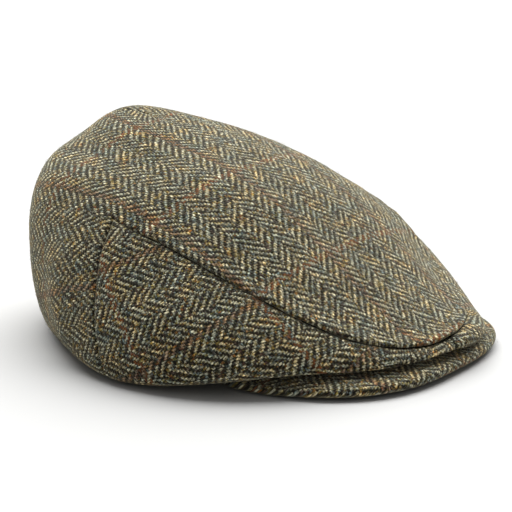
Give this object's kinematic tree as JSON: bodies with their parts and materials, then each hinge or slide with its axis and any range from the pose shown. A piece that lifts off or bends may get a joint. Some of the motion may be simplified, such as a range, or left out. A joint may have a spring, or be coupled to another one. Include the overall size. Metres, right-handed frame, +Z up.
{
  "type": "flat cap",
  "caption": "Flat cap of herringbone tweed: a high crown that slopes down to the front, side panels that meet over a short stiff peak, and an open head hollow.",
  "frame": {"origin": "on the surface that the cap rests on, under the middle of its length and width", "axes": "+Z up, -Y out over the peak to the front, -X to the wearer's right"},
  "size_m": [0.241, 0.2636, 0.1159],
  "materials": {
    "top_tweed": "olive grey herringbone wool tweed",
    "side_tweed": "olive grey herringbone wool tweed",
    "peak_tweed": "olive grey herringbone wool tweed over a stiff core"
  },
  "bodies": {
    "root": {"top_panel": "top_tweed", "side_panel_right": "side_tweed", "side_panel_left": "side_tweed", "peak": "peak_tweed"}
  },
  "joints": []
}
